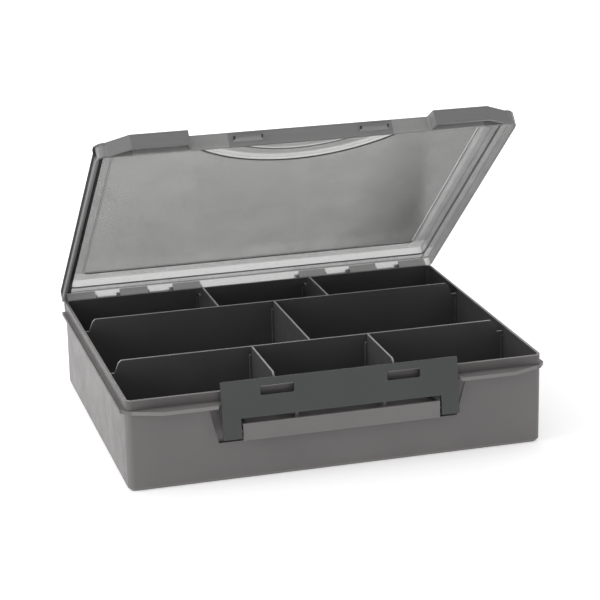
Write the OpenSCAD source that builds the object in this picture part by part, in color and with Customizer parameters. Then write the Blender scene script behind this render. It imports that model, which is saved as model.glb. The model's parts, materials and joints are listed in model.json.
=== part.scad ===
// Parts sorting tray: a moulded case with seven lift-out dividers, a translucent
// hinged lid and a swinging front latch. Millimetres, +Z up, front is -Y,
// origin at the centre of the underside.

/* [Tray] */
// Outer width of the tray walls
tray_w = 360; // [340:5:400]
// Outer depth of the tray walls
tray_d = 288; // [270:2:320]
// Height of the tray rim above the table
tray_h = 79.3; // [76:0.1:84]
// Thickness of the moulded walls and floor
wall = 2.2; // [1.8:0.1:2.6]
// Plan radius of the outer corners
corner_r = 6; // [5:1:10]
// Bevel along the bottom edges
bottom_bevel = 3; // [1:0.5:3]

/* [Lid] */
// How far the lid stands open from closed
lid_open = 40; // [0:1:110]
// Thickness of the lid sheet
lid_t = 1.8; // [1.5:0.1:2.2]
// Height of the raised panel's underside above the rim
panel_rise = 8; // [7:0.5:9]
// Extra height of the finger crescent in the panel
crescent_rise = 3.5; // [1:0.5:4]

/* [Dividers] */
// Thickness of a divider
divider_t = 1.8; // [1.4:0.1:2]
// How far the dividers stand above the rim
divider_rise = 6; // [3:0.5:6.5]
// Distance of the long dividers' centres from the front wall
long_divider_y = [86, 205.5];
// Distance of the outer short dividers from the middle
short_divider_x = 52; // [40:1:80]

/* [Latch] */
// Overall width of the latch plate
latch_w = 204; // [190:1:206]
// Length of the latch plate from leg end to top edge
latch_len = 48.2; // [46:0.2:50]
// Thickness of the latch plate
latch_t = 2.3; // [2:0.1:2.6]
// Lean of the latch plate towards the tray
latch_lean = 8.5; // [8.5:0.5:9]
// Turn of the latch, outwards and down, from its place against the tray
latch_swing = 0; // [0:5:150]

/* [Hidden] */
$fn = 48;
fit_gap = 0.3;

front = -tray_d / 2;
back = tray_d / 2;
half_w = tray_w / 2;
half_d = tray_d / 2;

// Flange around the tray, below the rim
flange_top = 70.8;
flange_t = 3.1;
flange_side = 3.8;
flange_bulge = 11;
flange_mid = 4.2;
flange_back_gap = 6;
bulge_in_x = 105.4;
bulge_out_x = 152;
bulge_step = 2.2;

// Finger recess in the front wall, behind the grip rail
recess_depth = 7;
recess_z = [34, 67.8];
recess_half_w = [103.5, 112];
recess_floor_x = 90;

// Lid skirt and step
skirt_gap = 0.4;
skirt_t = 1.8;
skirt_bottom = 71.4;
back_skirt_bottom = 70;
back_gap = 2.4;
lid_under = tray_h + fit_gap;
lid_front = 2.2;
lid_front_r = corner_r + 2.4;
lid_back_r = 4;
band_d = 9;
band_rise = 3.2;
bumper_out = 13;
bumper_in_x = 103;
bumper_slant = 2.5;
bumper_flat_x = 154;
bumper_end_y = 3;
panel_x = half_w - 7;
panel_front = 12.4;
panel_back = 7;
step_in = 12;
step_rise = 1;
crescent_front = 30;
crescent_r = 132;
crescent_apex = 66;
crescent_2_r = 104;
crescent_2_apex = 52;
crescent_2_rise = 1;

// Lid hinge
hinge_y = back + 11.5;
hinge_z = 75;
hinge_pin_d = 3;
knuckle_run = 0.08;
knuckle_r = 4;
knuckle_w = 24;
knuckle_x = [62, 113, 163];
lug_w = 3;
lug_r = 3.8;
lug_gap = 0.4;
lug_foot_z = [46, 60];
lug_front = [7.2, 68.5];
lug_back = [13.5, 65];
pin_in_x = knuckle_x[0] - knuckle_w / 2 - lug_gap - lug_w;
pin_out_x = knuckle_x[2] + knuckle_w / 2 + lug_gap + lug_w;

// Latch, its pivot and the grip rail
pivot_y = front - 5.5;
pivot_z = 44.5;
latch_face = 5.4;
latch_below = 5.2;
leg_w = 15.5;
notch_top = 11.6;
boss_r = 4.2;
boss_t = 4;
web_h = 18;
lip_in = 4;
lip_t = 1.3;
lip_h = 2;
slot_x = [40, 69];
slot_z = [29.2, 37];
slot_r = 1.5;
hook_x = [42, 67];
hook_z = [75.2, 77.8, 79.2];
hook_out = 5.7;
latch_pin_d = 3;
latch_pin_run = 0.08;
rail_half_w = 85;
rail_z = [37.6, 52.2];
rail_face = 10;
rail_t = 2.4;
rail_arm_t = 5;
rail_arm_z = [39, 50];
rail_rib_x = 38;
rail_rib_t = 2.4;
rail_rib_z = [39, 58];
rail_rib_front = 5;

// Dividers and the guides that hold them
divider_top = tray_h + divider_rise;
tab_top = 74.5;
tab_len = 5.3;
back_tab_len = 8.3;
slope_len = 5.8;
shoulder = [3.2, 2.4];
divider_gap = 0.5;
guide_gap = 0.25;
guide_t = 1.6;
guide_d = 2.5;
guide_top = 71;
front_guide_top = 64;
cell_guide_d = 1.6;
cell_guide_top = 78;
front_bump = recess_depth + wall;

module rounded_plan(w, d, r) {
    square([w - 2 * r, d], center = true);
    square([w, d - 2 * r], center = true);
    for (sx = [-1, 1], sy = [-1, 1]) translate([sx * (w / 2 - r), sy * (d / 2 - r)]) circle(r);
}

// Plan outline of the front half, mirrored about the middle
module mirrored_outline(half) {
    polygon(concat(half, [for (i = [len(half) - 1:-1:0]) [-half[i][0], half[i][1]]]));
}

module side_pair() {
    children();
    mirror([1, 0, 0]) children();
}

// ---- tray ----

module flange_plan() {
    mirrored_outline([
        [bulge_in_x - bulge_step, front - flange_mid],
        [bulge_in_x, front - flange_bulge],
        [bulge_out_x, front - flange_bulge],
        [half_w - 1, front - 0.5],
        [half_w + flange_side, front + 6],
        [half_w + flange_side, back - flange_back_gap]]);
}

// The recess, its ends sloping in from the front; grown by one wall for the bulge inside
module recess_shape(depth, grow) {
    slope = (recess_half_w[1] - recess_floor_x) / recess_depth;
    start = recess_half_w[1] + slope * grow * sqrt(1 + 1 / (slope * slope));
    intersection() {
        translate([0, front + depth, 0]) rotate([90, 0, 0]) linear_extrude(depth + 1)
            mirrored_outline([
                [recess_half_w[0] + grow, recess_z[0] - grow],
                [recess_half_w[1] + grow, recess_z[1] + grow]]);
        linear_extrude(tray_h)
            mirrored_outline([[start + slope, front - 1], [start - slope * depth, front + depth]]);
    }
}

// Side view of the bevelled foot, for a tray that reaches x = half on either side
module foot_outline(half) {
    mirrored_outline([[half - bottom_bevel, 0], [half, bottom_bevel]]);
}

// Solid block of the tray, its bottom edges bevelled all round
module tray_block() {
    straight_x = half_w - corner_r;
    straight_y = half_d - corner_r;
    translate([0, 0, bottom_bevel]) linear_extrude(tray_h - bottom_bevel)
        rounded_plan(tray_w, tray_d, corner_r);
    translate([-straight_x, 0, 0]) rotate([90, 0, 90]) linear_extrude(2 * straight_x)
        foot_outline(half_d);
    translate([0, straight_y, 0]) rotate([90, 0, 0]) linear_extrude(2 * straight_y)
        foot_outline(half_w);
    for (sx = [-1, 1], sy = [-1, 1]) translate([sx * straight_x, sy * straight_y, 0])
        cylinder(r1 = corner_r - bottom_bevel, r2 = corner_r, h = bottom_bevel);
}

// A pair of upright guides holding a divider end; the wall is at y = 0, opening to +Y
module guide_pair(depth, z0, z1) {
    for (s = [-1, 1])
        translate([s * (divider_t / 2 + guide_gap + guide_t / 2) - guide_t / 2, -1, z0])
            cube([guide_t, depth + 1, z1 - z0]);
}

module tray_guides() {
    for (y = long_divider_y) {
        translate([-half_w + wall, front + y, 0]) rotate([0, 0, -90])
            guide_pair(guide_d, wall - 0.5, guide_top);
        translate([half_w - wall, front + y, 0]) rotate([0, 0, 90])
            guide_pair(guide_d, wall - 0.5, guide_top);
    }
    for (x = [-short_divider_x, short_divider_x]) {
        translate([x, front + front_bump, 0]) guide_pair(guide_d, wall - 0.5, front_guide_top);
        translate([x, back - wall, 0]) rotate([0, 0, 180]) guide_pair(guide_d, wall - 0.5, guide_top);
    }
}

// Hook-shaped lug that holds the hinge pin behind the back wall
module hinge_lug() {
    translate([-lug_w / 2, 0, 0]) rotate([90, 0, 90]) linear_extrude(lug_w) {
        polygon([
            [back - 2, lug_foot_z[0]], [back - 2, lug_foot_z[1]],
            [back + lug_front[0], lug_front[1]], [hinge_y - lug_r, hinge_z],
            [hinge_y + lug_r, hinge_z], [back + lug_back[0], lug_back[1]]]);
        translate([hinge_y, hinge_z]) circle(lug_r);
    }
}

module tray_body() {
    color([0.42, 0.41, 0.41]) difference() {
        union() {
            difference() {
                tray_block();
                difference() {
                    translate([0, 0, wall]) linear_extrude(tray_h)
                        rounded_plan(tray_w - 2 * wall, tray_d - 2 * wall, corner_r - wall);
                    recess_shape(front_bump, wall);
                }
            }
            difference() {
                translate([0, 0, flange_top - flange_t]) linear_extrude(flange_t) flange_plan();
                linear_extrude(tray_h) rounded_plan(tray_w - 2, tray_d - 2, corner_r - 1);
            }
            tray_guides();
            side_pair() for (x = knuckle_x, s = [-1, 1])
                translate([x + s * (knuckle_w / 2 + lug_gap + lug_w / 2), 0, 0]) hinge_lug();
        }
        recess_shape(recess_depth, 0);
        side_pair() translate([pin_in_x - 1, hinge_y, hinge_z]) rotate([0, 90, 0])
            cylinder(d = hinge_pin_d, h = pin_out_x - pin_in_x + 2);
    }
}

module hinge_pin_right() {
    color([0.72, 0.72, 0.74]) translate([pin_in_x, hinge_y, hinge_z]) rotate([0, 90, 0])
        cylinder(d = hinge_pin_d, h = pin_out_x - pin_in_x);
}

module hinge_pin_left() {
    mirror([1, 0, 0]) hinge_pin_right();
}

// ---- grip rail ----

module grip_rail() {
    face = front - rail_face;
    deep = front + recess_depth;
    color([0.46, 0.45, 0.45]) difference() {
        union() {
            translate([-rail_half_w, face, rail_z[0]])
                cube([2 * rail_half_w, rail_t, rail_z[1] - rail_z[0]]);
            side_pair() {
                translate([rail_half_w - rail_arm_t, face + rail_t - 0.5, rail_arm_z[0]])
                    cube([rail_arm_t, deep - face - rail_t + 0.5, rail_arm_z[1] - rail_arm_z[0]]);
                translate([rail_rib_x - rail_rib_t / 2, face + rail_t - 0.5, rail_rib_z[0]])
                    cube([rail_rib_t, deep - face - rail_t + 0.5, rail_arm_z[1] - rail_rib_z[0]]);
                translate([rail_rib_x - rail_rib_t / 2, front - rail_rib_front, rail_rib_z[0]])
                    cube([rail_rib_t, deep - front + rail_rib_front, rail_rib_z[1] - rail_rib_z[0]]);
            }
        }
        side_pair() translate([rail_half_w - rail_arm_t - 1, pivot_y, pivot_z]) rotate([0, 90, 0])
            cylinder(d = latch_pin_d, h = rail_arm_t + 2);
    }
}

module latch_pin_right() {
    color([0.72, 0.72, 0.74]) translate([rail_half_w - rail_arm_t, pivot_y, pivot_z]) rotate([0, 90, 0])
        cylinder(d = latch_pin_d, h = rail_arm_t + 1.5 + boss_t);
}

module latch_pin_left() {
    mirror([1, 0, 0]) latch_pin_right();
}

// ---- latch ----

module latch_place() {
    translate([0, pivot_y, pivot_z]) rotate([latch_swing - latch_lean, 0, 0]) children();
}

module latch_plate() {
    inner_x = latch_w / 2 - leg_w;
    top = latch_len - latch_below;
    color([0.29, 0.31, 0.30]) latch_place() difference() {
        union() {
            translate([0, -latch_face + latch_t, 0]) rotate([90, 0, 0]) linear_extrude(latch_t)
                difference() {
                    translate([-latch_w / 2, -latch_below]) square([latch_w, latch_len]);
                    translate([-inner_x, -latch_below - 1])
                        square([2 * inner_x, notch_top + latch_below + 1]);
                    side_pair() translate([slot_x[0] + slot_x[1], slot_z[0] + slot_z[1]] / 2)
                        rounded_plan(slot_x[1] - slot_x[0], slot_z[1] - slot_z[0], slot_r);
                }
            side_pair() {
                translate([inner_x, 0, 0]) rotate([90, 0, 90]) linear_extrude(boss_t) {
                    circle(boss_r);
                    translate([-latch_face + latch_t - 0.5, -boss_r])
                        square([latch_face - latch_t + 0.5, 2 * boss_r]);
                    polygon([
                        [-latch_face + 1, 0], [0, 0],
                        [-latch_face + latch_t, web_h], [-latch_face + 1, web_h]]);
                }
            }
            translate([-latch_w / 2 + lip_in, -latch_face + latch_t - 0.5, top - lip_h])
                cube([latch_w - 2 * lip_in, lip_t, lip_h]);
        }
        side_pair() translate([inner_x - 1, 0, 0]) rotate([0, 90, 0])
            cylinder(r = latch_pin_d / 2 + latch_pin_run, h = boss_t + 2);
    }
}

// ---- lid, drawn closed and turned about the hinge ----

module lid_turn() {
    translate([0, hinge_y, hinge_z]) rotate([-lid_open, 0, 0]) translate([0, -hinge_y, -hinge_z])
        children();
}

lid_half_w = half_w + skirt_gap + skirt_t;
lid_back = back + back_gap + skirt_t;

module main_plan(inset) {
    w = 2 * (lid_half_w - inset);
    y0 = front - lid_front + inset;
    y1 = lid_back - inset;
    translate([0, y0 / 2]) rounded_plan(w, -y0, lid_front_r - inset);
    translate([0, y1 / 2]) rounded_plan(w, y1, lid_back_r - inset);
    square([w, 3 * lid_front_r], center = true);
}

module bumper_plan(inset) {
    side_pair() polygon([
        [bumper_in_x + inset, front + bumper_end_y],
        [bumper_in_x + inset, front - lid_front],
        [bumper_in_x + bumper_slant + inset, front - bumper_out + inset],
        [bumper_flat_x - inset * 0.3, front - bumper_out + inset],
        [lid_half_w - inset, front + bumper_end_y]]);
}

// Raised band along the lid's front edge, bumpers included
module front_band(inset, z0, z1) {
    translate([0, 0, z0]) linear_extrude(z1 - z0) intersection() {
        union() {
            main_plan(inset);
            bumper_plan(inset);
        }
        translate([-tray_w, front - tray_d + band_d - inset]) square([2 * tray_w, tray_d]);
    }
}

module panel_box(inset, z0, z1) {
    w = 2 * (panel_x - inset);
    y0 = front + panel_front + inset;
    y1 = back - panel_back - inset;
    translate([0, (y0 + y1) / 2, z0]) linear_extrude(z1 - z0) rounded_plan(w, y1 - y0, 5);
}

// Crescent at the middle of the front edge, bounded by one arc
module crescent(r, apex, grow, z0, z1) {
    translate([0, 0, z0]) linear_extrude(z1 - z0) intersection() {
        translate([0, front + apex - r]) circle(r + grow, $fn = 96);
        translate([-half_w, front + crescent_front - grow]) square([tray_w, apex]);
    }
}

// The lid's underside: a stack of hollows that share one sheet thickness
module lid_hollows(grow) {
    z1 = lid_under + panel_rise;
    z2 = z1 + step_rise;
    z3 = z2 + crescent_rise;
    panel_box(-grow, lid_under - 1, z1 + grow);
    panel_box(step_in - grow, z1 - 1, z2 + grow);
    crescent(crescent_r, crescent_apex, grow, z1 - 1, z3 + grow);
    crescent(crescent_2_r, crescent_2_apex, grow, z3 - 1, z3 + crescent_2_rise + grow);
}

module lid_hook() {
    translate([hook_x[0], 0, 0]) rotate([90, 0, 90]) linear_extrude(hook_x[1] - hook_x[0])
        polygon([
            [front - lid_front + 0.5, hook_z[2]], [front - hook_out, hook_z[2]],
            [front - hook_out, hook_z[1]], [front - lid_front + 0.5, hook_z[0]]]);
}

module hinge_knuckle() {
    translate([-knuckle_w / 2, 0, 0]) rotate([90, 0, 90]) linear_extrude(knuckle_w) {
        translate([hinge_y, hinge_z]) circle(knuckle_r);
        translate([lid_back - 1, hinge_z - knuckle_r])
            square([hinge_y - lid_back + 1, 2 * knuckle_r]);
    }
}

module lid_shell() {
    color([0.55, 0.55, 0.54], 0.6) lid_turn() difference() {
        union() {
            translate([0, 0, skirt_bottom]) linear_extrude(lid_under + lid_t - skirt_bottom) {
                main_plan(0);
                bumper_plan(0);
            }
            translate([-lid_half_w + lid_back_r, back, back_skirt_bottom])
                cube([2 * (lid_half_w - lid_back_r), back_gap + skirt_t, lid_t]);
            lid_hollows(lid_t);
            front_band(0, lid_under, lid_under + band_rise + lid_t);
            side_pair() lid_hook();
            side_pair() for (x = knuckle_x) translate([x, 0, 0]) hinge_knuckle();
        }
        difference() {
            union() {
                translate([0, 0, back_skirt_bottom - 1]) linear_extrude(lid_under - back_skirt_bottom + 1) {
                    main_plan(skirt_t);
                    bumper_plan(skirt_t);
                }
                front_band(skirt_t, lid_under - 1, lid_under + band_rise);
            }
            // inner skirt that carries on behind the bumpers
            side_pair() translate([bumper_in_x, front - lid_front, skirt_bottom])
                cube([half_w - bumper_in_x - lid_front_r, skirt_t, lid_under]);
        }
        lid_hollows(0);
        side_pair() translate([pin_in_x, hinge_y, hinge_z]) rotate([0, 90, 0])
            cylinder(r = hinge_pin_d / 2 + knuckle_run, h = pin_out_x - pin_in_x);
    }
}

// ---- dividers ----

module upright(x0, outline) {
    translate([x0 - divider_t / 2, 0, 0]) rotate([90, 0, 90]) linear_extrude(divider_t)
        polygon(outline);
}

// Guides on a long divider's face, where a short divider meets it
module cell_guides(x, y, facing) {
    translate([x, y + facing * divider_t / 2, 0]) rotate([0, 0, facing > 0 ? 0 : 180])
        for (s = [-1, 1])
            translate([s * (divider_t / 2 + guide_gap + guide_t / 2) - guide_t / 2, -0.5, wall + 1])
                cube([guide_t, cell_guide_d + 0.5, cell_guide_top - wall - 1]);
}

module long_divider(y, x_before, x_behind) {
    end = half_w - wall - divider_gap;
    color([0.24, 0.24, 0.25]) {
        union() {
            translate([0, y + divider_t / 2, 0]) rotate([90, 0, 0]) linear_extrude(divider_t)
                mirrored_outline([
                    [end, wall], [end, tab_top], [end - tab_len, tab_top],
                    [end - tab_len - shoulder[0], divider_top - shoulder[1]],
                    [end - tab_len - slope_len, divider_top]]);
            for (x = x_before) cell_guides(x, y, -1);
            for (x = x_behind) cell_guides(x, y, 1);
        }
    }
}

module long_divider_front() {
    long_divider(front + long_divider_y[0], [-short_divider_x, short_divider_x], [0]);
}

module long_divider_back() {
    long_divider(front + long_divider_y[1], [0], [-short_divider_x, short_divider_x]);
}

module short_divider_back(x) {
    y0 = front + long_divider_y[1] + divider_t / 2 + fit_gap;
    y1 = back - wall - divider_gap;
    color([0.24, 0.24, 0.25]) upright(x, [
        [y0, wall], [y1, wall], [y1, tab_top], [y1 - back_tab_len, tab_top],
        [y1 - back_tab_len - shoulder[0], divider_top - shoulder[1]],
        [y1 - back_tab_len - slope_len, divider_top], [y0, divider_top]]);
}

module short_divider_front(x) {
    y0 = front + front_bump + divider_gap;
    y1 = front + long_divider_y[0] - divider_t / 2 - fit_gap;
    color([0.24, 0.24, 0.25]) upright(x, [
        [y0, wall], [y1, wall], [y1, divider_top],
        [y0 + 1.5 + slope_len, divider_top], [y0 + 1.5 + shoulder[0], divider_top - shoulder[1]],
        [y0 + 1.5, tab_top], [y0, tab_top]]);
}

module short_divider_middle() {
    y0 = front + long_divider_y[0] + divider_t / 2 + fit_gap;
    y1 = front + long_divider_y[1] - divider_t / 2 - fit_gap;
    color([0.24, 0.24, 0.25]) upright(0, [
        [y0, wall], [y1, wall], [y1, divider_top], [y0, divider_top]]);
}

module short_divider_back_left() {
    short_divider_back(-short_divider_x);
}

module short_divider_back_right() {
    short_divider_back(short_divider_x);
}

module short_divider_front_left() {
    short_divider_front(-short_divider_x);
}

module short_divider_front_right() {
    short_divider_front(short_divider_x);
}

tray_body();
grip_rail();
lid_shell();
latch_plate();
hinge_pin_left();
hinge_pin_right();
latch_pin_left();
latch_pin_right();
long_divider_front();
long_divider_back();
short_divider_back_left();
short_divider_back_right();
short_divider_middle();
short_divider_front_left();
short_divider_front_right();
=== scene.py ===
"""Parts sorting tray: the looks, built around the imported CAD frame."""

import json
import math

import bpy
from mathutils import Matrix, Vector


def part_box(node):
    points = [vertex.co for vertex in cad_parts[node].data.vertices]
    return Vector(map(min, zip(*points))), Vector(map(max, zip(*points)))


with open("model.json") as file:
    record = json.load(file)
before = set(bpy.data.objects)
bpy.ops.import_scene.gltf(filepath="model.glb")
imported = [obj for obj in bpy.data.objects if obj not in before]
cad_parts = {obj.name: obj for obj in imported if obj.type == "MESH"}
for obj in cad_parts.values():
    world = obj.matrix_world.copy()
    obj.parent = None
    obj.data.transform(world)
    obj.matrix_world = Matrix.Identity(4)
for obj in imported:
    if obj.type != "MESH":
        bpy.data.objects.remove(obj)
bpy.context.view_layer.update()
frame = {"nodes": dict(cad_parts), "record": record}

MM = 0.001


# ---- camera, light and floor, in metres and degrees ----

CAMERA_PLACE = (-0.46407, -1.70208, 0.65457)
CAMERA_AZIMUTH = -15.496
CAMERA_ELEVATION = 17.334
CAMERA_ROLL = -1.170
CAMERA_LENS = 124.96
SENSOR_WIDTH = 36
SKY_STRENGTH = 0.72
FLOOR_SIZE = 14
FLOOR_WHITE = (0.95, 0.95, 0.95, 1)
FLOOR_GLOW = 0.36
WHITE = (1, 1, 1, 1)


def make_camera():
    """Looks from where the photograph was taken. The roll turns it about its line of sight."""
    azimuth, elevation, roll = map(math.radians, (CAMERA_AZIMUTH, CAMERA_ELEVATION, CAMERA_ROLL))
    level = math.cos(elevation)
    back = Vector((math.sin(azimuth) * level, -math.cos(azimuth) * level, math.sin(elevation)))
    right = Vector((0, 0, 1)).cross(back).normalized()
    up = back.cross(right)
    x = right * math.cos(roll) + up * math.sin(roll)
    y = up * math.cos(roll) - right * math.sin(roll)
    data = bpy.data.cameras.new("camera")
    data.lens = CAMERA_LENS
    data.sensor_width = SENSOR_WIDTH
    data.clip_start, data.clip_end = 0.05, 50
    camera = bpy.data.objects.new("camera", data)
    camera.matrix_world = Matrix.Translation(CAMERA_PLACE) @ Matrix((x, y, back)).transposed().to_4x4()
    bpy.context.scene.collection.objects.link(camera)
    bpy.context.scene.camera = camera


def area_light(name, place, target, size, power):
    data = bpy.data.lights.new(name, "AREA")
    data.shape = "RECTANGLE"
    data.size, data.size_y = size
    data.energy = power
    light = bpy.data.objects.new(name, data)
    light.location = place
    aim = Vector(target) - Vector(place)
    light.rotation_mode = "QUATERNION"
    light.rotation_quaternion = aim.to_track_quat("-Z", "Y")
    bpy.context.scene.collection.objects.link(light)


def make_light():
    area_light("key_left", place=(-2.6, -0.3, 0.9), target=(0, 0, 0.06), size=(1.6, 1.2), power=35)
    area_light("rim_back", place=(-0.3, 2.2, 1.5), target=(0, 0.1, 0.15), size=(2.4, 1.2), power=22)
    world = bpy.data.worlds.new("studio")
    bpy.context.scene.world = world
    world.use_nodes = True
    sky = world.node_tree.nodes["Background"]
    sky.inputs["Color"].default_value = WHITE
    sky.inputs["Strength"].default_value = SKY_STRENGTH
    bpy.context.scene.view_settings.view_transform = "Standard"


def make_floor():
    bpy.ops.mesh.primitive_plane_add(size=FLOOR_SIZE, location=(0, 0, 0))
    floor = bpy.context.object
    floor.name = "studio_floor"
    material = bpy.data.materials.new("floor_paper")
    material.use_nodes = True
    shader = material.node_tree.nodes["Principled BSDF"]
    shader.inputs["Base Color"].default_value = FLOOR_WHITE
    shader.inputs["Roughness"].default_value = 0.9
    shader.inputs["Specular IOR Level"].default_value = 0.1
    shader.inputs["Emission Color"].default_value = WHITE
    shader.inputs["Emission Strength"].default_value = FLOOR_GLOW
    floor.data.materials.append(material)


# ---- wiring of a material ----

def scaled(colour, factor):
    return tuple(min(1, c * factor) for c in colour)


class Nodes:
    """Short forms for wiring one material's node tree. A mask is 1 where it holds and 0 elsewhere."""

    def __init__(self, name):
        self.material = bpy.data.materials.new(name)
        self.material.use_nodes = True
        self.tree = self.material.node_tree
        self.shader = self.tree.nodes["Principled BSDF"]
        texture = self.add("ShaderNodeTexCoord")
        self.place = texture.outputs["Object"]
        self.facing = self.split(texture.outputs["Normal"])

    def add(self, kind, **values):
        node = self.tree.nodes.new(kind)
        for key, value in values.items():
            setattr(node, key, value)
        return node

    def link(self, output, socket):
        self.tree.links.new(output, socket)

    def feed(self, node, key, value):
        """Links the node's input to a socket, or sets it to a number or a colour."""
        if isinstance(value, bpy.types.NodeSocket):
            self.link(value, node.inputs[key])
        elif isinstance(value, tuple):
            node.inputs[key].default_value = (*value, 1)
        else:
            node.inputs[key].default_value = value

    def finish(self, **inputs):
        """Feeds the shader, with an underscore for each space in an input's name."""
        for key, value in inputs.items():
            self.feed(self.shader, key.replace("_", " "), value)
        return self.material

    def split(self, vector):
        node = self.add("ShaderNodeSeparateXYZ")
        self.link(vector, node.inputs[0])
        return node.outputs

    def measure(self, vector):
        """Sets x, y and z, the place in millimetres that the masks read."""
        node = self.add("ShaderNodeVectorMath", operation="SCALE")
        self.link(vector, node.inputs[0])
        node.inputs["Scale"].default_value = 1 / MM
        self.x, self.y, self.z = self.split(node.outputs["Vector"])

    def noise(self, scale, detail=3, roughness=0.5, place=None):
        node = self.add("ShaderNodeTexNoise")
        self.link(self.place if place is None else place, node.inputs["Vector"])
        node.inputs["Scale"].default_value = scale
        node.inputs["Detail"].default_value = detail
        node.inputs["Roughness"].default_value = roughness
        return node.outputs["Fac"]

    def remap(self, value, source, target=(0, 1)):
        node = self.add("ShaderNodeMapRange")
        for key, end in zip(("From Min", "From Max", "To Min", "To Max"), (*source, *target)):
            node.inputs[key].default_value = end
        self.link(value, node.inputs["Value"])
        return node.outputs["Result"]

    def ramp(self, value, low, high, source=(0.3, 0.7)):
        """Goes from one colour to the other as the value crosses the source range."""
        node = self.add("ShaderNodeValToRGB")
        for element, position, colour in zip(node.color_ramp.elements, source, (low, high)):
            element.position = position
            element.color = (*colour, 1)
        self.link(value, node.inputs["Fac"])
        return node.outputs["Color"]

    def varied(self, value, colour, share):
        """The colour, up to the given share darker or lighter as the value moves."""
        return self.ramp(value, scaled(colour, 1 - share), scaled(colour, 1 + share))

    def mix(self, mask, a, b):
        node = self.add("ShaderNodeMix", data_type="RGBA")
        for key, value in ((0, mask), (6, a), (7, b)):
            self.feed(node, key, value)
        return node.outputs[2]

    def layered(self, tone, layers):
        """Lays each layer's colour over the tone where its mask holds."""
        for mask, colour in layers:
            tone = self.mix(mask, tone, colour)
        return tone

    def maths(self, operation, a, b=0.0):
        node = self.add("ShaderNodeMath", operation=operation)
        self.feed(node, 0, a)
        self.feed(node, 1, b)
        return node.outputs[0]

    def size(self, value):
        return self.maths("ABSOLUTE", value)

    def above(self, value, limit):
        return self.maths("GREATER_THAN", value, limit)

    def below(self, value, limit):
        return self.maths("LESS_THAN", value, limit)

    def between(self, value, ends):
        return self.both(self.above(value, ends[0]), self.below(value, ends[1]))

    def opposite(self, mask):
        return self.maths("SUBTRACT", 1.0, mask)

    def both(self, mask, *others):
        """1 where all the masks hold."""
        for other in others:
            mask = self.maths("MULTIPLY", mask, other)
        return mask

    def either(self, mask, *others):
        """1 where any of the masks holds."""
        for other in others:
            mask = self.maths("MAXIMUM", mask, other)
        return mask

    def bump(self, height, strength, distance, normal=None):
        node = self.add("ShaderNodeBump")
        node.inputs["Strength"].default_value = strength
        node.inputs["Distance"].default_value = distance
        self.link(height, node.inputs["Height"])
        if normal is not None:
            self.link(normal, node.inputs["Normal"])
        return node.outputs["Normal"]

    def sharp_edges(self, radius):
        """1 along sharp edges and 0 on the flats."""
        rounded = self.add("ShaderNodeBevel", samples=6)
        rounded.inputs["Radius"].default_value = radius
        geometry = self.add("ShaderNodeNewGeometry")
        likeness = self.add("ShaderNodeVectorMath", operation="DOT_PRODUCT")
        self.link(rounded.outputs["Normal"], likeness.inputs[0])
        self.link(geometry.outputs["Normal"], likeness.inputs[1])
        return self.remap(likeness.outputs["Value"], (1.0, 0.85))


# ---- places on the tray, in millimetres, from its box ----

TRAY_LOW, TRAY_HIGH = (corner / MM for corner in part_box("tray_body"))
FLANGE_REACH = 3.8
BULGE_REACH = 11
WALL_X = TRAY_HIGH.x - FLANGE_REACH
FRONT_Y = TRAY_LOW.y + BULGE_REACH
BACK_Y = -FRONT_Y
RIM_Z = TRAY_HIGH.z

# These lie inside the wall or the floor, so what is past them is an inner face
INSIDE_X = WALL_X - 1.8
INSIDE_Y = BACK_Y - 1.8
INSIDE_Z = 1.5
RECESS_Y = FRONT_Y + 7.6

FLANGE_SIDE_X = TRAY_HIGH.x - 1.3
FLANGE_FRONT_Y = FRONT_Y - 2
FLANGE_Z = (RIM_Z - 12.2, RIM_Z - 7.2)
RIM_BAND_Z = (RIM_Z - 8.35, RIM_Z - 0.55)
TOP_EDGE_Z = RIM_Z - 6.3
SIDE_X = WALL_X - 0.5
SIDE_FADE_Y = (FRONT_Y + 74, FRONT_Y + 4)

# A face is turned a way when its normal's part in that way is above this
TURNED = 0.5
CORNER_TURNED = 0.3
LOOKS_UP = (0.3, 0.6)


# ---- opaque plastic of the tray, rail, latch and dividers ----

TAUPE = (0.136, 0.129, 0.128)
# painted shade: the tray's inside is darkened in its colour
TRAY_INSIDE_PAINTED_SHADE = (0.066, 0.064, 0.064)
# painted shade: the outer left wall darkens towards the front corner
SIDE_FRONT_PAINTED_SHADE = (0.104, 0.099, 0.098)
# painted shade on the rim's outer band, between the flange and the top edge
RIM_BAND_PAINTED_SHADE = (0.094, 0.089, 0.088)
# painted highlight on faces that look up near the rim's top
RIM_TOP_PAINTED_HIGHLIGHT = (0.24, 0.23, 0.228)
# painted shade on the flange's outer edge at the sides
FLANGE_SIDE_PAINTED_SHADE = (0.060, 0.058, 0.058)
# painted highlight on the flange's outer edge in front
FLANGE_FRONT_PAINTED_HIGHLIGHT = (0.185, 0.177, 0.175)
RAIL = (0.158, 0.150, 0.149)
GREEN_GREY = (0.046, 0.050, 0.049)
CHARCOAL = (0.068, 0.066, 0.067)
# painted highlight on the dividers' top edges
DIVIDER_EDGE_PAINTED_HIGHLIGHT = (0.40, 0.39, 0.385)
CLOUD_SHARE = 0.06


def outward(n):
    """How far the surface faces away from the middle, along x and along y."""
    return [n.maths("MULTIPLY", n.maths("SIGN", place), facing)
            for place, facing in ((n.x, n.facing[0]), (n.y, n.facing[1]))]


def inside_painted_shade_mask(n):
    """Painted shade on everything within the tray's walls, its ribs and floor included."""
    rounded_corner = n.above(n.maths("MINIMUM", *outward(n)), CORNER_TURNED)
    within = n.both(n.below(n.size(n.x), INSIDE_X), n.below(n.size(n.y), INSIDE_Y), n.above(n.z, INSIDE_Z))
    behind_recess = n.either(n.above(n.y, RECESS_Y), n.above(n.facing[1], TURNED))
    return n.both(n.opposite(rounded_corner), within, behind_recess)


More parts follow.
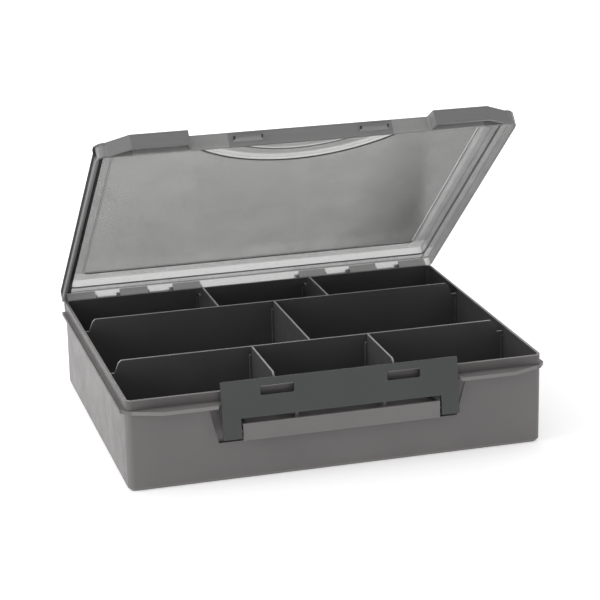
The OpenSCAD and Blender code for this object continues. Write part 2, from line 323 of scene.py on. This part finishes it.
def rim_band_painted_shade_mask(n):
    """Painted shade on the outer faces of the rim, between the flange and the top edge."""
    return n.both(n.between(n.z, RIM_BAND_Z), n.above(n.maths("MAXIMUM", *outward(n)), TURNED))


def top_edge_painted_highlight_mask(n):
    """Painted highlight on faces that look up, near the top of a divider or the rim."""
    return n.both(n.remap(n.facing[2], LOOKS_UP), n.above(n.z, TOP_EDGE_Z))


def side_front_painted_shade_mask(n):
    """Painted shade that rises from 0 to 1 along the outer left wall, towards the front corner."""
    return n.both(n.below(n.x, -SIDE_X), n.remap(n.y, SIDE_FADE_Y))


def flange_side_painted_shade_mask(n):
    """Painted shade on the outer edge of the flange at the tray's sides."""
    return n.above(n.size(n.x), FLANGE_SIDE_X)


def flange_front_painted_highlight_mask(n):
    """Painted highlight on the outer edge of the flange in front."""
    return n.both(n.between(n.z, FLANGE_Z), n.below(n.y, FLANGE_FRONT_Y))


def moulded_plastic(name, colour, roughness=0.42, edge_lift_worn_and_highlit=1.5, zones=()):
    """Injection-moulded plastic: fine spark texture, faint flow clouds, scuffs, and sharp edges lightened
    both where worn and as a painted highlight.
    """
    n = Nodes(name)
    n.measure(n.place)
    clouds = n.noise(scale=14, detail=4)
    # the zones lay painted shade and painted highlights over the colour
    layers = [(mask(n), n.varied(clouds, zone, CLOUD_SHARE)) for mask, zone in zones]
    tone = n.layered(n.varied(clouds, colour, CLOUD_SHARE), layers)
    # sharp edges are lightened both where worn and as a painted highlight
    edge_wear_and_highlight_patches = n.remap(n.noise(scale=90), (0.35, 0.65), (0.35, 0.85))
    worn_and_highlit_edges = n.both(n.sharp_edges(0.9 * MM), edge_wear_and_highlight_patches)
    scuffs = n.noise(scale=38, detail=6, roughness=0.65)
    flow = n.bump(n.noise(scale=24, detail=2), strength=0.05, distance=1.0 * MM)
    spark = n.bump(n.noise(scale=2400, detail=2), strength=0.12, distance=0.06 * MM, normal=flow)
    return n.finish(Base_Color=n.mix(worn_and_highlit_edges, tone, scaled(colour, edge_lift_worn_and_highlit)),
                    Roughness=n.remap(scuffs, (0.35, 0.7), (roughness - 0.05, roughness + 0.09)),
                    Normal=spark, Specular_IOR_Level=0.45)


def tray_plastic():
    # all these zones are painted shade and painted highlights
    return moulded_plastic("tray_plastic", TAUPE, zones=(
        (side_front_painted_shade_mask, SIDE_FRONT_PAINTED_SHADE), (rim_band_painted_shade_mask, RIM_BAND_PAINTED_SHADE), (flange_front_painted_highlight_mask, FLANGE_FRONT_PAINTED_HIGHLIGHT),
        (flange_side_painted_shade_mask, FLANGE_SIDE_PAINTED_SHADE), (inside_painted_shade_mask, TRAY_INSIDE_PAINTED_SHADE), (top_edge_painted_highlight_mask, RIM_TOP_PAINTED_HIGHLIGHT)))


def divider_plastic():
    # painted highlight on the top edges, and edges lightened both where worn and as a painted highlight
    return moulded_plastic("divider_plastic", CHARCOAL, roughness=0.38, edge_lift_worn_and_highlit=3.2,
                           zones=((top_edge_painted_highlight_mask, DIVIDER_EDGE_PAINTED_HIGHLIGHT),))


# ---- places on the closed lid, in millimetres ----

LID_HINGE = next(j for j in frame["record"]["behaviour"]["joints"] if j["name"] == "lid_hinge")
LID_OPEN = -math.radians(LID_HINGE["range_deg"][0])

LID_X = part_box("lid_shell")[1].x / MM
FACE_X = LID_X - 1
SKIRT_X = LID_X - 2.2
LEDGE_X = (LID_X - 9.7, LID_X - 1.6)
LEDGE_MIDDLE_X = LID_X - 6.3
SIDE_CORNER_X = (LID_X - 9.1, LID_X - 7.5)
PANEL_X = LID_X - 21.6
PANEL_FADE_X = (PANEL_X - 0.6, PANEL_X + 0.4)
PANEL_LINE_X = (PANEL_X - 0.7, PANEL_X + 0.7)
# the panel gets painted shade towards its right across this span of x
PANEL_SHADE_X = (75, 140)
KNUCKLE_X = (62, 113, 163)
KNUCKLE_HALF = 13.3
HOOK_X = (42, 67)
HOOK_END = 1.5
UNDER_BUMPER_X = (71, 152)

FRONT_FACE_Y = FRONT_Y - 0.6
BUMPER_Y = FRONT_Y - 4
PANEL_MIDDLE_Y = 2.7
PANEL_HALF_Y = (121, 122)
PANEL_END_Y = (BACK_Y - 20.4, BACK_Y - 18.8)
HINGE_STRIP_Y = (BACK_Y - 24, BACK_Y - 20)
BACK_CORNER_Y = (BACK_Y + 0.9, BACK_Y + 2.5)
BACK_SKIRT_Y = BACK_Y + 1.6
KNUCKLE_Y = BACK_Y + 4.6

SKIRT_RIM_Z = RIM_Z - 6.8
LEFT_FACE_Z = (RIM_Z - 4.7, RIM_Z - 3.7)
CORNER_Z = RIM_Z - 0.3
KNUCKLE_TOP_Z = RIM_Z - 0.1
LEDGE_Z = (SKIRT_RIM_Z, RIM_Z + 2.3)
PANEL_Z = RIM_Z + 8.2
CRESCENT_Z = RIM_Z + 10.7

OUTER_ARC_Y = FRONT_Y - 66
OUTER_ARC_R = (126.5, 132.5)
INNER_ARC_Y = FRONT_Y - 52
INNER_ARC_R = (102.3, 104.7)


# ---- the lid's smoky plastic ----

# painted light: the strip along the hinge is lighter than the rest of the lid
HINGE_STRIP_PAINTED_LIGHT = (0.84, 0.84, 0.835)
SMOKE_BAND = (0.70, 0.70, 0.695)
# painted shade on the bands beside the panel
SIDE_SHADE = 0.87
# painted light: the back skirt is lighter
BACK_SKIRT_PAINTED_LIGHT = (0.785, 0.785, 0.78)
# painted shade on the right skirt's inner wall
RIGHT_WALL_PAINTED_SHADE = (0.615, 0.615, 0.61)
FROST = (0.62, 0.62, 0.61)
# painted shade: the panel darkens towards its right
PANEL_RIGHT_PAINTED_SHADE = 0.54
# painted shade: dark lines in the inner corners
CORNER_PAINTED_SHADE = (0.28, 0.28, 0.278)
# painted shade on the left skirt's face: near black high up, dark grey lower down
LEFT_FACE_HIGH_PAINTED_SHADE = (0.012, 0.012, 0.012)
LEFT_FACE_LOW_PAINTED_SHADE = (0.17, 0.17, 0.17)
# painted shade on the left skirt's rim and the outer part of the ledge past it
LEFT_RIM_PAINTED_SHADE = (0.32, 0.32, 0.317)
# painted shade on the inner part of the left ledge
LEDGE_INNER_PAINTED_SHADE = (0.05, 0.05, 0.05)
# painted highlight: light lines along the panel's right edge and the crescent
PAINTED_HIGHLIGHT_LINE = (1.0, 1.0, 0.99)
# painted shade on the front band, and on the latch hooks
FRONT_FACE_PAINTED_SHADE = (0.30, 0.30, 0.298)
# painted shade on the faces under the bumpers, lighter than on the front face
UNDER_BUMPER_PAINTED_SHADE = (0.44, 0.44, 0.437)
# painted shade at the ends of the latch hooks
HOOK_END_PAINTED_SHADE = (0.02, 0.02, 0.02)
SKIRT_PATCH = (0.85, 0.85, 0.845)
KNUCKLE = (0.25, 0.25, 0.248)
FLOW_SHARE = 0.015
FRONT_SOLID = 0.7
CLEAR = 0.88
CLOUDED = 0.25
EDGE_ROUGHNESS = 0.9
RIB_PITCH = 1.6
SMOKE_DENSITY = 190


def closed_place(n):
    """The place turned back about the hinge, as it is on the closed lid."""
    hinge = Vector(LID_HINGE["pos_m"])
    turn = Matrix.Rotation(LID_OPEN, 3, "X")
    closed = n.add("ShaderNodeMapping")
    closed.inputs["Rotation"].default_value = (LID_OPEN, 0, 0)
    closed.inputs["Location"].default_value = hinge - turn @ hinge
    n.link(n.place, closed.inputs["Vector"])
    return closed.outputs["Vector"]


def ring(n, centre_y, radii):
    """Between two circles about a point on the lid's middle line."""
    away = n.maths("SUBTRACT", n.y, centre_y)
    squares = n.maths("ADD", n.maths("MULTIPLY", n.x, n.x), n.maths("MULTIPLY", away, away))
    return n.between(n.maths("SQRT", squares), radii)


class LidMasks:
    """The lid's zones, named for where they are on it."""

    def __init__(self, n):
        out = n.size(n.x)
        self.mark_top(n, out)
        self.mark_lines(n, out)
        self.mark_back(n, out)
        self.mark_front(n, out)
        self.mark_sides(n, out)

    def mark_top(self, n, out):
        """The frosted panel, with painted shade towards its right, the bands beside it, with painted
        shade, and the strip behind it, with painted light.
        """
        from_middle = n.size(n.maths("SUBTRACT", n.y, PANEL_MIDDLE_Y))
        across = n.remap(out, PANEL_FADE_X, (1, 0))
        along = n.remap(from_middle, PANEL_HALF_Y, (1, 0))
        self.panel = n.both(n.above(n.z, PANEL_Z), across, along)
        # painted shade on the panel towards its right
        self.rightward_shade = n.remap(n.x, PANEL_SHADE_X)
        # the hinge strip gets painted light
        self.hinge_strip = n.remap(n.y, HINGE_STRIP_Y)
        # the bands beside the panel get painted shade
        self.side_band = n.both(n.above(out, PANEL_X), n.opposite(self.hinge_strip))

    def mark_lines(self, n, out):
        """Painted shade as dark lines in the inner corners, and painted highlights as light lines along
        the panel and the crescent.
        """
        panel_end = n.both(n.between(n.y, PANEL_END_Y), n.below(out, PANEL_X))
        corners = n.either(n.between(out, SIDE_CORNER_X), n.between(n.y, BACK_CORNER_Y), panel_end)
        # painted shade in the inner corners
        self.corner = n.both(corners, n.above(n.z, CORNER_Z))
        panel_line = n.both(n.between(n.x, PANEL_LINE_X), n.above(n.z, PANEL_Z))
        rings = n.either(ring(n, OUTER_ARC_Y, OUTER_ARC_R), ring(n, INNER_ARC_Y, INNER_ARC_R))
        # painted highlights along the panel and the crescent
        self.bright = n.either(panel_line, n.both(rings, n.above(n.z, CRESCENT_Z)))

    def mark_back(self, n, out):
        """The skirt at the back, which gets painted light, and the knuckles on it."""
        # the back skirt gets painted light
        self.back_skirt = n.above(n.y, BACK_SKIRT_Y)
        self.knuckle = n.above(n.y, KNUCKLE_Y)
        beside = [n.between(out, (middle - KNUCKLE_HALF, middle + KNUCKLE_HALF)) for middle in KNUCKLE_X]
        self.patch = n.both(n.either(*beside), n.below(n.z, KNUCKLE_TOP_Z), self.back_skirt)

    def mark_front(self, n, out):
        """The front band, with its bumpers and latch hooks, which get painted shade."""
        # the front band gets painted shade
        self.front = n.below(n.y, FRONT_FACE_Y)
        self.ahead = n.below(n.y, BUMPER_Y)
        self.under_bumper = n.both(n.above(n.y, BUMPER_Y), n.between(out, UNDER_BUMPER_X))
        self.hooks = n.both(self.ahead, n.below(out, HOOK_X[1] + 1))
        self.hook_end = n.either(n.below(out, HOOK_X[0] + HOOK_END), n.above(out, HOOK_X[1] - HOOK_END))

    def mark_sides(self, n, out):
        """The right skirt's wall, and the left skirt's face, its rim and the ledge seen past the rim, all
        of which get painted shade.
        """
        left = n.below(n.x, 0.0)
        # painted shade on the right skirt's wall
        self.right_wall_painted_shade = n.above(n.x, SKIRT_X)
        # the left skirt's face, rim and ledge get painted shade
        self.left_face = n.below(n.x, -FACE_X)
        self.left_face_high = n.remap(n.z, LEFT_FACE_Z)
        self.left_rim = n.both(left, n.below(n.z, SKIRT_RIM_Z), n.above(out, SKIRT_X))
        self.left_ledge = n.both(left, n.between(out, LEDGE_X), n.between(n.z, LEDGE_Z))
        self.ledge_outer = n.above(out, LEDGE_MIDDLE_X)


def lid_tone(n, masks):
    """Smoke, laid over with each zone's tone, most of them painted light and painted shade. Left and right
    differ, as in the photograph.
    """
    flow = n.noise(scale=7, detail=2)

    def tinted(colour, factor=1):
        return n.varied(flow, scaled(colour, factor), FLOW_SHARE)

    # painted light on the hinge strip, back skirt and highlight lines; painted shade on the side bands,
    # right wall, panel's right, inner corners, left skirt and front band
    return n.layered(tinted(SMOKE_BAND), (
        (masks.hinge_strip, tinted(HINGE_STRIP_PAINTED_LIGHT)),
        (masks.side_band, tinted(SMOKE_BAND, SIDE_SHADE)),
        (masks.back_skirt, tinted(BACK_SKIRT_PAINTED_LIGHT)),
        (masks.right_wall_painted_shade, tinted(RIGHT_WALL_PAINTED_SHADE)),
        (masks.panel, n.mix(masks.rightward_shade, tinted(FROST), tinted(FROST, PANEL_RIGHT_PAINTED_SHADE))),
        (masks.corner, tinted(CORNER_PAINTED_SHADE)),
        (masks.left_face, n.mix(masks.left_face_high, LEFT_FACE_LOW_PAINTED_SHADE, LEFT_FACE_HIGH_PAINTED_SHADE)),
        (masks.left_rim, LEFT_RIM_PAINTED_SHADE),
        (masks.left_ledge, n.mix(masks.ledge_outer, LEDGE_INNER_PAINTED_SHADE, LEFT_RIM_PAINTED_SHADE)),
        (masks.bright, PAINTED_HIGHLIGHT_LINE),
        (masks.front, n.mix(masks.under_bumper, tinted(FRONT_FACE_PAINTED_SHADE), tinted(UNDER_BUMPER_PAINTED_SHADE))),
        (masks.hooks, n.mix(masks.hook_end, FRONT_FACE_PAINTED_SHADE, HOOK_END_PAINTED_SHADE)),
        (masks.patch, tinted(SKIRT_PATCH)),
        (masks.knuckle, tinted(KNUCKLE))))


def smoky_plastic(name):
    """Clear smoke-tinted lid plastic, darker where it is thick, with a frosted panel and painted light and
    shade on its zones; the left skirt's face is painted near black.
    """
    n = Nodes(name)
    n.measure(closed_place(n))
    masks = LidMasks(n)
    gloss = n.remap(n.noise(scale=30, detail=4, roughness=0.6), (0.3, 0.7), (0.20, 0.27))
    dulled = n.maths("MULTIPLY", masks.left_face, EDGE_ROUGHNESS)
    ribs = n.maths("MULTIPLY", n.maths("SINE", n.maths("MULTIPLY", n.z, RIB_PITCH)), masks.ahead)
    grooves = n.bump(ribs, strength=0.4, distance=0.2 * MM)
    grain = n.bump(n.noise(scale=2000, detail=2), strength=0.06, distance=0.04 * MM, normal=grooves)
    solid_front = n.maths("MULTIPLY", masks.front, FRONT_SOLID)
    solid_left = n.either(masks.left_face, masks.left_rim, masks.left_ledge)
    solid = n.either(masks.knuckle, masks.patch, solid_front, solid_left)
    tint = n.add("ShaderNodeVolumeAbsorption")
    tint.inputs["Color"].default_value = (0, 0, 0, 1)
    tint.inputs["Density"].default_value = SMOKE_DENSITY
    n.link(tint.outputs["Volume"], n.tree.nodes["Material Output"].inputs["Volume"])
    return n.finish(Base_Color=lid_tone(n, masks), Roughness=n.either(gloss, dulled), Normal=grain,
                    Transmission_Weight=n.remap(solid, (0, 1), (CLEAR, CLOUDED)),
                    IOR=1.49, Specular_IOR_Level=0.2)


# ---- the pins' steel ----

STEEL_DARK = (0.46, 0.46, 0.47)
STEEL_LIGHT = (0.62, 0.62, 0.63)
DRAWN_STRETCH = (20, 1800, 1800)


def drawn_steel(name):
    """Steel with fine lines along the pin."""
    n = Nodes(name)
    stretch = n.add("ShaderNodeMapping")
    stretch.inputs["Scale"].default_value = DRAWN_STRETCH
    n.link(n.place, stretch.inputs["Vector"])
    lines = n.noise(scale=1, detail=2, place=stretch.outputs["Vector"])
    return n.finish(Base_Color=n.ramp(lines, STEEL_DARK, STEEL_LIGHT),
                    Roughness=n.remap(lines, (0.3, 0.7), (0.22, 0.38)), Metallic=1)


# ---- rounded edges and materials on the CAD pieces ----

WELD_REACH = 0.005 * MM
FLAT_ANGLE = math.radians(0.6)
SHARP_ANGLE = math.radians(28)
EVEN_WEIGHT = 100


def soften_edges(obj, width):
    """Welds the imported faces, clears flat seams, rounds the sharp edges and evens the shading."""
    weld = obj.modifiers.new("weld", "WELD")
    weld.merge_threshold = WELD_REACH
    flats = obj.modifiers.new("flats", "DECIMATE")
    flats.decimate_type = "DISSOLVE"
    flats.angle_limit = FLAT_ANGLE
    bevel = obj.modifiers.new("bevel", "BEVEL")
    bevel.width = width
    bevel.segments = 2
    bevel.limit_method = "ANGLE"
    bevel.angle_limit = SHARP_ANGLE
    bevel.harden_normals = False
    bevel.miter_outer = "MITER_SHARP"
    even = obj.modifiers.new("even", "WEIGHTED_NORMAL")
    even.mode = "FACE_AREA"
    even.weight = EVEN_WEIGHT
    even.keep_sharp = False
    for polygon in obj.data.polygons:
        polygon.use_smooth = True


def dress(node, material, edge_width):
    obj = frame["nodes"][node]
    obj.data.materials.clear()
    obj.data.materials.append(material)
    soften_edges(obj, edge_width * MM)


def dress_all():
    divider = divider_plastic()
    steel = drawn_steel("pin_steel")
    for node in frame["nodes"]:
        if "divider" in node:
            dress(node, divider, edge_width=0.35)
        elif "pin" in node:
            dress(node, steel, edge_width=0.3)
    dress("tray_body", tray_plastic(), edge_width=0.6)
    dress("grip_rail", moulded_plastic("rail_plastic", RAIL), edge_width=0.6)
    dress("latch_plate", moulded_plastic("latch_plastic", GREEN_GREY, roughness=0.36), edge_width=0.5)
    dress("lid_shell", smoky_plastic("lid_smoke"), edge_width=0.5)


make_camera()
make_light()
make_floor()
dress_all()
